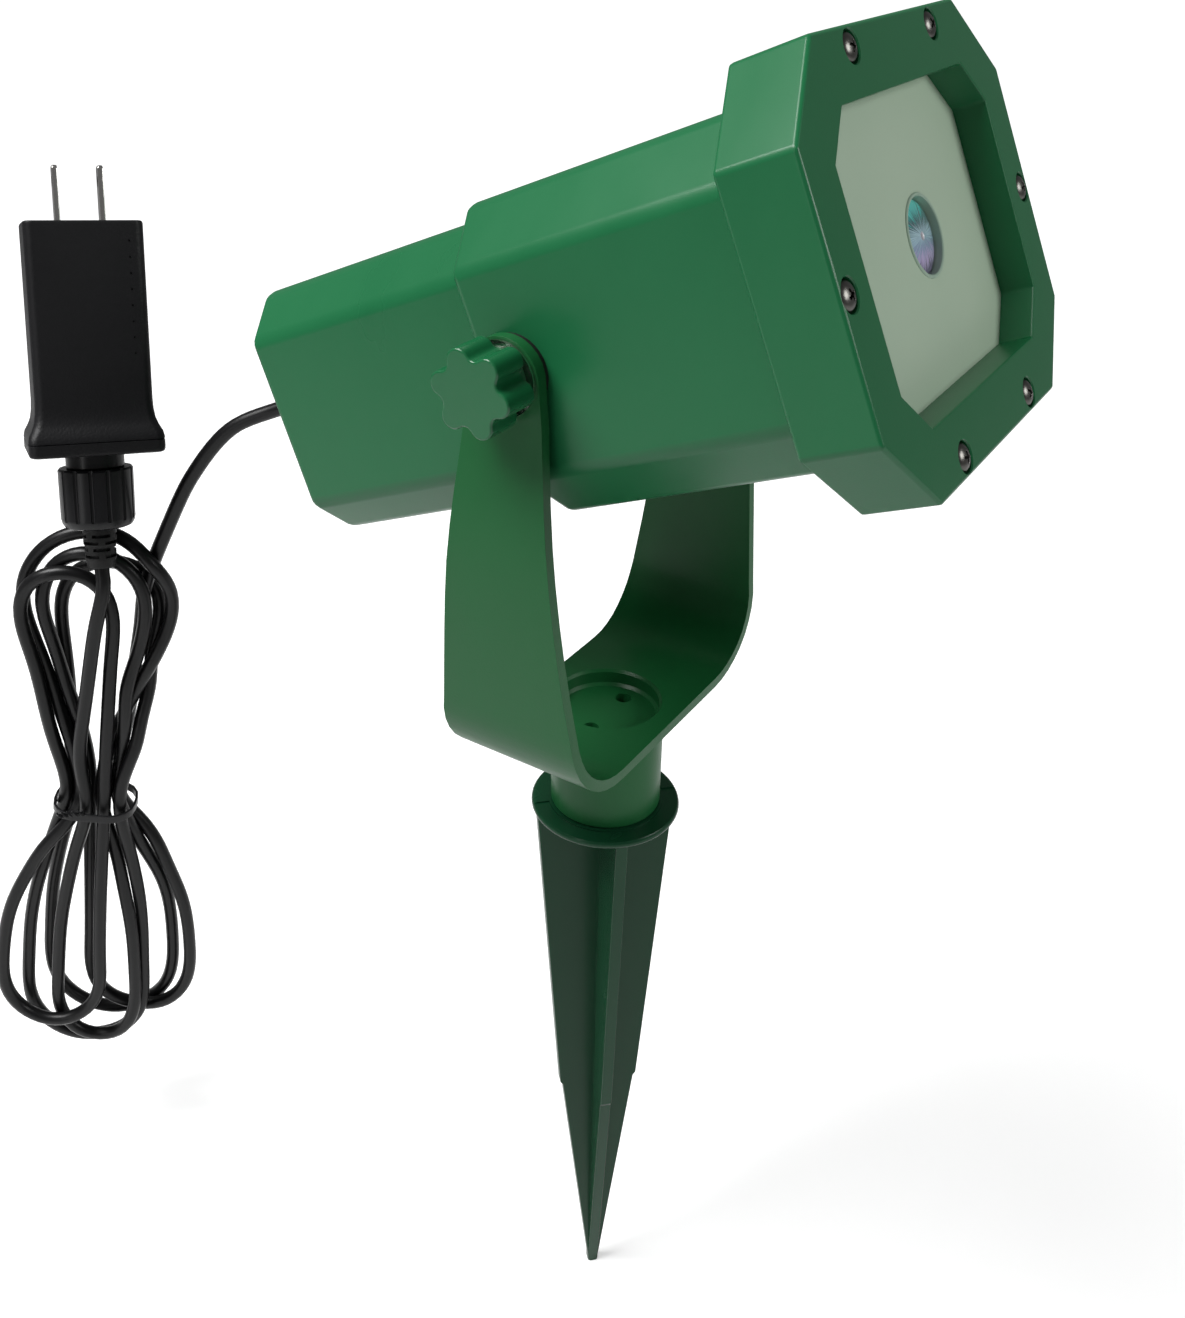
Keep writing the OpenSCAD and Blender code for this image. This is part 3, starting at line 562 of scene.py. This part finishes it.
green_satin = moulded("green_abs_satin", (0.007, 0.098, 0.034), (0.009, 0.112, 0.040), 0.30, pit_scale=2400,
                      bump=0.10, specular_ior_level=0.26, coat_weight=0.06, coat_roughness=0.3)
step_s = rear_s + wall
housing = stacked([(octagon(*front), rear_s), (octagon(*front), flange_s), (octagon(*flange), flange_s),
                   (octagon(*flange), lip_s), (octagon(*front, wall), lip_s), (octagon(*front, wall), step_s),
                   (octagon(*rear, -0.1), step_s), (octagon(*rear, -0.1), rear_s)], hollow=True)
soften(housing, 2.2, outside(front, rear_s, 60), 4)
trunnion = turned([(0, 42), (6, 42), (6, 47.3), (5.5, 47.8), (0, 47.8)], 64)
for turn in (90, -90):
    stub = trunnion.copy()
    bmesh.ops.transform(stub, matrix=Matrix.Rotation(math.radians(turn), 4, "Y"), verts=stub.verts)
    housing = carve(housing, stub, "UNION")
housing = carve(housing, bar(3.7, -60, 60, Matrix.Rotation(math.radians(90), 4, "Y"), 64))
pilots = [bar(1.3, 60, 70, Matrix.Translation((*spot, 0)), 24) for spot in screw_spots]
housing = carve(housing, together(pilots))
finished(housing, nose, "housing_front", green_satin, "green_satin", "head", "front_housing")

collar = octagon(*front, wall + 0.2)
cover = stacked([(octagon(*rear), tail_s), (octagon(*rear), step_s + 0.02), (collar, step_s + 0.02),
                 (collar, step_s + 2), (octagon(*rear, wall), step_s + 2),
                 (octagon(*rear, wall), tail_s + wall + 0.4)])
soften(cover, 2.4, outside(rear, tail_s, rear_s), 4)
for x in (-24, 24):
    for s in (-61, -19):
        upright = Matrix.Translation((x, 0, s)) @ Matrix.Rotation(math.radians(-90), 4, "X")
        cover = carve(cover, bar(3, -31.6, -14, upright, 32), "UNION")
cover = carve(cover, bar(5.05, tail_s - 1, tail_s + wall + 2))
finished(cover, nose, "housing_rear", green_satin, "green_satin", "head", "rear_cover")

seat_s = lip_s + 0.2
surround = stacked([(octagon(*bezel), front_s), (octagon(*bezel), skirt_s), (octagon(*skirt_in), skirt_s),
                    (octagon(*skirt_in), seat_s), (octagon(*seat), seat_s), (octagon(*seat), pane_s),
                    (octagon(*window), pane_s), (octagon(*window), front_s)], hollow=True)
soften(surround, 0.9, outside(bezel, skirt_s, front_s), 3)


def window_rims(mid, e):
    """Chooses the window's front rim and the eight corners of its recess."""
    on_rim = all(abs(v.co.z - front_s) < 0.05 and abs(v.co.x) < 42 and abs(v.co.y) < 31 for v in e.verts)
    in_recess = all(abs(v.co.x) < 41.2 and abs(v.co.y) < 30.6 for v in e.verts)
    return on_rim or in_recess and abs(e.verts[0].co.z - e.verts[1].co.z) > 5


soften(surround, 0.5, window_rims, 2)
well = [(0, well_s), (3.3, well_s), (3.3, 80.2), (3.6, 80.6), (3.6, 82), (0, 82)]
wells = [turned(well, 40) for _ in screw_spots]
bores = [bar(1.65, 60, 79.5, steps=24) for _ in screw_spots]
for holes in (wells, bores):
    for hole, (x, y) in zip(holes, screw_spots):
        bmesh.ops.translate(hole, vec=(x, y, 0), verts=hole.verts)
    surround = carve(surround, together(holes))
finished(surround, nose, "bezel_frame", green_satin, "green_satin", "head", "front_bezel")

# ---- Bezel screws
# Six pan-head screws with cross recesses, dark nickel plate, in their counterbores.
nickel = moulded("dark_nickel", (0.095, 0.092, 0.085), (0.13, 0.127, 0.118), 0.3, pit_scale=900, bump=0.06,
                 metallic=1.0)
head_r, brim_s, crown_s = 3.0, 79.5, 81.0
screws = []
for k, (x, y) in enumerate(screw_spots):
    dome = [(head_r * math.cos(a), brim_s + (crown_s - brim_s) * math.sin(a))
            for a in (math.radians(d) for d in range(0, 90, 15))]
    screw = turned([(0, 65.4), (1.3, 65.9), (1.3, well_s), (head_r, well_s), *dome, (0, crown_s)], 40)
    wing = bmesh.new()
    bmesh.ops.create_cube(wing, size=1)
    bmesh.ops.scale(wing, vec=(3.4, 0.8, 2.6), verts=wing.verts)
    other = wing.copy()
    bmesh.ops.rotate(other, verts=other.verts, matrix=Matrix.Rotation(math.radians(90), 3, "Z"))
    for blade in (wing, other):
        for v in blade.verts:
            if v.co.z < 0:
                v.co.x *= 0.45
                v.co.y *= 0.45
        bmesh.ops.translate(blade, vec=(0, 0, crown_s - 0.3), verts=blade.verts)
    screw = carve(screw, carve(wing, other, "UNION"))
    soften(screw, 0.08, lambda mid, e: mid.z > brim_s + 0.1 and mid.xy.length < 1.8, 1, 40)
    bmesh.ops.rotate(screw, verts=screw.verts, matrix=Matrix.Rotation(0.4 + 1.3 * k, 3, "Z"))
    bmesh.ops.translate(screw, vec=(x, y, 0), verts=screw.verts)
    screws.append(screw)
finished(together(screws), nose, "screws_bezel", nickel, "screw_steel", "head", "bezel_screws")

# ---- Window and lens
# A frosted pale green plate fills the window, held against its seat by a gasket. The lens shows through a
# hole in it: a pressed disc with fine rays, in a thin pale ring, round a pale centre. The rainbow that the rays
# split from the light is painted into its base colour: a ramp of hues that shifts with height across the lens.
lens_x, lens_r, ring_w, lens_s = 7.3, 8.2, 0.8, 72.7
frosted = moulded("frosted_pane", (0.34, 0.46, 0.34), (0.40, 0.50, 0.38), 0.42, pit_scale=1200, bump=0.06,
                  coat_weight=0.2, coat_roughness=0.35)
plate = stacked([(octagon(46, 35.8, 12.2), 70.7), (octagon(46, 35.8, 12.2), pane_s - 0.02)])
soften(plate, 0.2, None, 2)
plate = carve(plate, bar(lens_r + ring_w + 0.02, 70, 74, Matrix.Translation((lens_x, 0, 0)), 96))
finished(plate, nose, "pane", frosted, "pane", "head", "window_pane")

pale = moulded("pale_ring", (0.26, 0.37, 0.29), (0.32, 0.43, 0.34), 0.3)
ring_in, ring_out = lens_r + 0.03, lens_r + ring_w
ring = turned([(ring_in, 70.6), (ring_out, 70.6), (ring_out, 73.2), (ring_out - 0.2, 73.38),
               (ring_in + 0.17, 73.38), (ring_in, 73.2)])
bmesh.ops.translate(ring, vec=(lens_x, 0, 0), verts=ring.verts)
finished(ring, nose, "ring_lens", pale, "ring", "head", "lens_ring")

rays = node_material("rayed_lens", (0.1, 0.2, 0.25), 0.16, coat_weight=1.0, coat_roughness=0.05)
nodes, links, shader = tree_of(rays)
place = nodes.new("ShaderNodeTexCoord")
centred = nodes.new("ShaderNodeMapping")
centred.vector_type = "TEXTURE"
centred.inputs["Location"].default_value = nose @ Vector((lens_x / 1000, 0, lens_s / 1000))
centred.inputs["Rotation"].default_value = nose.to_euler()
links.new(place.outputs["Object"], centred.inputs["Vector"])
apart = nodes.new("ShaderNodeSeparateXYZ")
links.new(centred.outputs["Vector"], apart.inputs["Vector"])
angle = nodes.new("ShaderNodeMath")
angle.operation = "ARCTAN2"
links.new(apart.outputs["Y"], angle.inputs[0])
links.new(apart.outputs["X"], angle.inputs[1])
flat = nodes.new("ShaderNodeVectorMath")
flat.operation = "MULTIPLY"
flat.inputs[1].default_value = (1, 1, 0)
links.new(centred.outputs["Vector"], flat.inputs[0])
reach = nodes.new("ShaderNodeVectorMath")
reach.operation = "LENGTH"
links.new(flat.outputs["Vector"], reach.inputs[0])
polar = nodes.new("ShaderNodeCombineXYZ")
links.new(angle.outputs[0], polar.inputs["X"])
links.new(reach.outputs["Value"], polar.inputs["Y"])
streaks = nodes.new("ShaderNodeTexNoise")
streaks.inputs["Scale"].default_value = 9
streaks.inputs["Detail"].default_value = 5
streaks.inputs["Roughness"].default_value = 0.75
links.new(polar.outputs[0], streaks.inputs["Vector"])
# Painted split light: the hue ramp climbs with height on the lens, so the upper part takes other colours than the
# lower part.
painted_hue_by_height = nodes.new("ShaderNodeMath")
painted_hue_by_height.operation = "MULTIPLY_ADD"
painted_hue_by_height.inputs[1].default_value = 55
painted_hue_by_height.inputs[2].default_value = 0.16
links.new(apart.outputs["Y"], painted_hue_by_height.inputs[0])
shifted = nodes.new("ShaderNodeMath")
shifted.operation = "ADD"
links.new(streaks.outputs["Fac"], shifted.inputs[0])
links.new(painted_hue_by_height.outputs[0], shifted.inputs[1])
# The colours of the painted split light, read from the ramp over the streaks and the height.
painted_split_light_ramp = nodes.new("ShaderNodeValToRGB")
painted_hue_stops = [(0.05, (0.34, 0.22, 0.50)), (0.3, (0.10, 0.10, 0.16)), (0.42, (0.50, 0.42, 0.68)),
         (0.55, (0.16, 0.26, 0.38)), (0.68, (0.42, 0.62, 0.70)), (0.82, (0.02, 0.07, 0.08)),
         (1.0, (0.08, 0.55, 0.50))]
while len(painted_split_light_ramp.color_ramp.elements) < len(painted_hue_stops):
    painted_split_light_ramp.color_ramp.elements.new(0.5)
for element, (at, color) in zip(painted_split_light_ramp.color_ramp.elements, painted_hue_stops):
    element.position = at
    element.color = (*color, 1)
links.new(shifted.outputs[0], painted_split_light_ramp.inputs["Fac"])
spot = nodes.new("ShaderNodeMapRange")
spot.inputs["From Min"].default_value = 0.0011
spot.inputs["From Max"].default_value = 0.0007
links.new(reach.outputs["Value"], spot.inputs["Value"])
centre = nodes.new("ShaderNodeMix")
centre.data_type = "RGBA"
centre.inputs["B"].default_value = (0.42, 0.40, 0.44, 1)
links.new(spot.outputs["Result"], centre.inputs["Factor"])
links.new(painted_split_light_ramp.outputs["Color"], centre.inputs["A"])
links.new(centre.outputs["Result"], shader.inputs["Base Color"])
furrows = nodes.new("ShaderNodeBump")
furrows.inputs["Strength"].default_value = 0.35
furrows.inputs["Distance"].default_value = 0.0002
links.new(streaks.outputs["Fac"], furrows.inputs["Height"])
links.new(furrows.outputs["Normal"], shader.inputs["Normal"])
bulge_s, bulge_h = 71.2, 1.4
dome = [(lens_r * math.sin(a), bulge_s + bulge_h * math.cos(a))
        for a in (math.radians(k) for k in range(8, 91, 10))]
disc = turned([(0, 67.7), (lens_r, 67.7), (lens_r, bulge_s), *reversed(dome), (0.9, 72.62), (0.7, 72.5),
               (0, 72.5)])
bmesh.ops.translate(disc, vec=(lens_x, 0, 0), verts=disc.verts)
finished(disc, nose, "lens", rays, "lens_glass", "head", "projection_lens")

# ---- Tilt knobs
# Six-lobed clamping knobs in the same green, one on each trunnion, with a round neck against the washer.
lobe_r, lobe_at, valley_r, valley_at = 2.9, 7.2, 1.89, 9.39
turn_out = math.degrees(math.atan2(valley_at * 0.5, valley_at * 0.866 - lobe_at))


def arc_round(distance, bearing, radius, angles):
    """Points of an arc whose centre is at a distance and a bearing from the knob's axis."""
    x, y = distance * math.cos(bearing), distance * math.sin(bearing)
    return [(x + radius * math.cos(a), y + radius * math.sin(a)) for a in angles]


lobed = []
for k in range(6):
    lobe, valley = math.radians(60 * k), math.radians(60 * k + 30)
    lobed += arc_round(lobe_at, lobe, lobe_r, lobe + np.radians(np.linspace(-turn_out, turn_out, 11)))
    lobed += arc_round(valley_at, valley, valley_r,
                       valley + math.pi + np.radians(np.linspace(turn_out - 30, 30 - turn_out, 7)[1:-1]))
green_knob = moulded("green_abs_knob", (0.007, 0.092, 0.032), (0.009, 0.104, 0.037), 0.20, pit_scale=2400,
                     bump=0.05, specular_ior_level=0.3, coat_weight=0.2, coat_roughness=0.15)
for hand, turn in (("left", -90), ("right", 90)):
    grip = stacked([(lobed, 50.6), (lobed, 60)])
    soften(grip, 0.55, lambda mid, e: all(v.co.z > 59.9 for v in e.verts), 3, 60)
    soften(grip, 0.3, lambda mid, e: all(v.co.z < 50.7 for v in e.verts), 2, 60)
    grip = carve(grip, turned([(0, 49.1), (6.9, 49.1), (7.4, 49.6), (7.4, 51.2), (0, 51.2)], 64), "UNION")
    grip = carve(grip, bar(2.5, 48, 56.1, steps=32))
    outward = head_place @ Matrix.Rotation(math.radians(turn), 4, "Y")
    finished(grip, outward, f"grip_{hand}", green_knob, "green_satin", f"knob_{hand}", f"knob_{hand}")

# ---- Cable gland
# A ribbed, tapered rubber sleeve that carries the lead out of the rear cover.
rubber = moulded("black_rubber_matt", (0.004, 0.004, 0.004), (0.008, 0.008, 0.008), 0.5, pit_scale=1400,
                 bump=0.2, specular_ior_level=0.3)
ribs = []
for k in range(3):
    rib_r, s = 4.6 - 0.15 * k, -91.4 - 1.55 * k
    ribs += [(rib_r, s + 0.5), (rib_r, s), (3.6, s), (3.6, s - 0.6)]
sleeve = turned([(2.26, -76.4), (5, -76.4), (5, -84.02), (7.6, -84.02), (8, -84.4), (8, -86.4), (7.2, -87),
                 (5.6, -87.2), (5.0, -90.4), *ribs, (4.2, -95.1), (4.0, -96), (2.26, -96)], 64)
finished(sleeve, nose, "gland_sleeve", rubber, "black_rubber", "head", "cable_gland", crease=40)

# ---- Plug and adapter
# A plug-in adapter in black grained polycarbonate: a case with rounded corners that flares to its base, a lid
# under the seam, and two blades. Its round socket takes the ribbed coupling nut on the end of the cord.
case_x, case_y, case_top, corner_r = 16.6, 12, 67, 2.6
base_x, base_y = 19.2, 15


def rounded(x, y, r):
    """A box outline with round corners, anticlockwise."""
    corners = [(x - r, y - r, 0), (r - x, y - r, 90), (r - x, r - y, 180), (x - r, r - y, 270)]
    return [(cx + r * math.cos(math.radians(first + d)), cy + r * math.sin(math.radians(first + d)))
            for cx, cy, first in corners for d in (0, 22.5, 45, 67.5, 90)]


grained = moulded("black_grained", (0.004, 0.004, 0.0045), (0.008, 0.008, 0.009), 0.44, pit_scale=1500,
                  bump=0.55, depth=0.0002, rough_spread=0.05, specular_ior_level=0.2)
# Height, and how far the wall is drawn in from the base there
flare = [(4.1, 0), (4.6, 0.02), (6.2, 0.35), (8, 1.3), (10, 2.05), (12.5, 2.45), (15.5, 2.6)]
case = stacked([(rounded(base_x - pull, base_y - pull * 1.15, corner_r), z) for z, pull in flare]
               + [(rounded(case_x, case_y, corner_r), case_top - 0.8),
                  (rounded(case_x - 0.25, case_y - 0.25, corner_r - 0.2), case_top - 0.2),
                  (rounded(case_x - 0.8, case_y - 0.8, corner_r - 0.6), case_top)])
dots = [turned([(0, -0.5), (0.32, -0.5), (0.32, 0.5), (0, 0.5)], 12) for _ in range(8)]
for k, dot in enumerate(dots):
    bmesh.ops.rotate(dot, verts=dot.verts, matrix=Matrix.Rotation(math.radians(90), 3, "X"))
    bmesh.ops.translate(dot, vec=(case_x - 4.4, 0.2 - case_y, 29 + 4.6 * k), verts=dot.verts)
case = carve(case, together(dots))
finished(case, plug_place, "case_adapter", grained, "black_plastic", "yoke", "adapter_case")
lid = stacked([(rounded(base_x - 1.1, base_y - 1.1, corner_r - 0.6), 0),
               (rounded(base_x - 0.3, base_y - 0.3, corner_r - 0.1), 0.35),
               (rounded(base_x, base_y, corner_r), 1.1), (rounded(base_x, base_y, corner_r), 3.7),
               (rounded(base_x - 0.35, base_y - 0.35, corner_r - 0.2), 3.98)])
finished(lid, plug_place, "lid_adapter", grained, "black_plastic", "yoke", "adapter_base")

smooth_black = moulded("black_smooth", (0.004, 0.004, 0.0045), (0.008, 0.008, 0.009), 0.28, bump=0.06,
                       specular_ior_level=0.28)
nut_r, nut_low, nut_high, panels, thread_r = 10.9, -22.8, -4.8, 14, 8.6
neck = turned([(0, nut_high), (8.2, nut_high), (8.5, nut_high + 0.4), (8.5, 0.2), (0, 0.2)], 64)
finished(neck, plug_place, "socket_adapter", smooth_black, "black_plastic", "yoke", "adapter_socket")

nut = turned([(0, cord_top + 0.1), (2.3, cord_top + 0.1), (2.3, nut_low), (thread_r, nut_low),
              (9.8, nut_low + 0.5), (10.5, nut_low + 1.6), (nut_r - 0.1, nut_low + 3),
              (nut_r, nut_high - 0.6), (nut_r - 0.4, nut_high), (thread_r, nut_high),
              (thread_r, nut_high - 0.01), (0, nut_high - 0.01)], 84)
grooves = []
for k in range(panels):
    a = 2 * math.pi * k / panels
    rim_place = Matrix.Translation(((nut_r + 0.15) * math.cos(a), (nut_r + 0.15) * math.sin(a), 0))
    grooves.append(bar(0.75, nut_low + 2.4, nut_high + 1, rim_place, 12))
nut = carve(nut, together(grooves))
finished(nut, plug_place, "nut_coupling", smooth_black, "black_plastic", "yoke", "coupling_nut")

relief_in = 2.27
relief = turned([(relief_in, relief_low), (3.9, relief_low), (4.2, relief_low + 0.4), (4.3, relief_low + 2),
                 (4.6, relief_low + 2.4), (4.6, -28.4), (4.9, -28), (5, nut_low - 0.02),
                 (relief_in, nut_low - 0.02)], 64)
for k in range(4):
    z = relief_low + 3.1 + 2.1 * k
    for turn in (0, 90, 180, 270):
        slit = [(3.5, z), (6, z), (6, z + 0.95), (3.5, z + 0.95)]
        relief = carve(relief, turned(slit, 12, 66, turn + 12 + 45 * (k % 2)))
finished(relief, plug_place, "relief_plug", rubber, "black_rubber", "yoke", "plug_strain_relief", crease=40)

plated = moulded("bright_nickel", (0.50, 0.49, 0.47), (0.60, 0.59, 0.57), 0.22, pit_scale=700, bump=0.05,
                 metallic=1.0)
tip_z = 83
tips = []
for x in (-6.35, 6.35):
    tip = bmesh.new()
    bmesh.ops.create_cube(tip, size=1)
    bmesh.ops.scale(tip, vec=(1.5, 6.3, 24), verts=tip.verts)
    bmesh.ops.translate(tip, vec=(x, 0, tip_z - 12), verts=tip.verts)
    soften(tip, 1.3, lambda mid, e: mid.z > tip_z - 0.1 and abs(e.verts[0].co.x - e.verts[1].co.x) > 1, 2)
    soften(tip, 0.35, lambda mid, e: mid.z > tip_z - 15, 2)
    eyelet = Matrix.Translation((x, 0, tip_z - 4.5)) @ Matrix.Rotation(math.radians(90), 4, "Y")
    tips.append(carve(tip, bar(1.5, -2, 2, eyelet, 32)))
finished(together(tips), plug_place, "blades_plug", plated, "steel", "yoke", "adapter_blades")

# ---- Twist tie
# A flat plastic-coated wire wrapped tight round the waist of the hank, its two ends twisted together.
tie_x, tie_y, tie_r = (-14.9, 10.2), (-9.2, 8.8), 7.2
tie_low, tie_high, tie_t = -91.4, -88.6, 0.9
middle = ((tie_x[0] + tie_x[1]) / 2, (tie_y[0] + tie_y[1]) / 2)
reach_x, reach_y = (tie_x[1] - tie_x[0]) / 2, (tie_y[1] - tie_y[0]) / 2


def band(grow):
    """The band's outline round the cords, grown outwards."""
    return [(x + middle[0], y + middle[1]) for x, y in rounded(reach_x + grow, reach_y + grow, tie_r + grow)]


loop = stacked([(band(tie_t), tie_low), (band(tie_t), tie_high), (band(0), tie_high), (band(0), tie_low)],
               hollow=True)
soften(loop, 0.3, None, 2, 60)
tails = []
for phase in (0, 180):
    wire = bmesh.new()
    bmesh.ops.create_circle(wire, segments=8, radius=0.55)
    bmesh.ops.translate(wire, vec=(0.62, 0, 0), verts=wire.verts)
    bmesh.ops.rotate(wire, verts=wire.verts, matrix=Matrix.Rotation(math.radians(phase), 3, "Z"))
    first = list(wire.edges)
    swept = bmesh.ops.spin(wire, geom=first, cent=(0, 0, 0), axis=(0, 0, 1), dvec=(0, 0, 0.3),
                           angle=math.radians(900), steps=30)
    last = [g for g in swept["geom_last"] if isinstance(g, bmesh.types.BMEdge)]
    for end in (first, last):
        bmesh.ops.contextual_create(wire, geom=end)
    bmesh.ops.recalc_face_normals(wire, faces=wire.faces)
    bmesh.ops.rotate(wire, verts=wire.verts, matrix=Matrix.Rotation(math.radians(78), 3, "Y"))
    bmesh.ops.translate(wire, vec=(-12.8, -9.4, -90), verts=wire.verts)
    tails.append(wire)
finished(together([loop, *tails]), hank_place, "tie_twist", smooth_black, "black_rubber", "yoke", "cord_tie")

# ---- Inner parts and washers
# These keep the shapes that they are designed with. Each takes the finish of its material slot.
inner = {
    "steel": plated,
    "black_rubber": rubber,
    "black_plastic": smooth_black,
    "brass": moulded("turned_brass", (0.55, 0.38, 0.12), (0.62, 0.45, 0.17), 0.3, metallic=1.0),
    "alloy": moulded("cast_alloy", (0.50, 0.51, 0.53), (0.58, 0.59, 0.60), 0.45, pit_scale=1500, bump=0.2,
                     metallic=1.0),
    "board": moulded("circuit_board", (0.01, 0.11, 0.04), (0.015, 0.14, 0.05), 0.35),
    "disc": moulded("grating_film", (0.35, 0.42, 0.55), (0.48, 0.40, 0.58), 0.12, metallic=0.6),
}
for part in frame["record"]["subparts"]:
    made = frame["nodes"][part["node"]]
    if part["material_slot"] in inner and not made.hide_render:
        made.data.materials.clear()
        made.data.materials.append(inner[part["material_slot"]])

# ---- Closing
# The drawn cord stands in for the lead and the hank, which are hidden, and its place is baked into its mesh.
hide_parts("power_lead", "cord_hank")
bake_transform(cord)
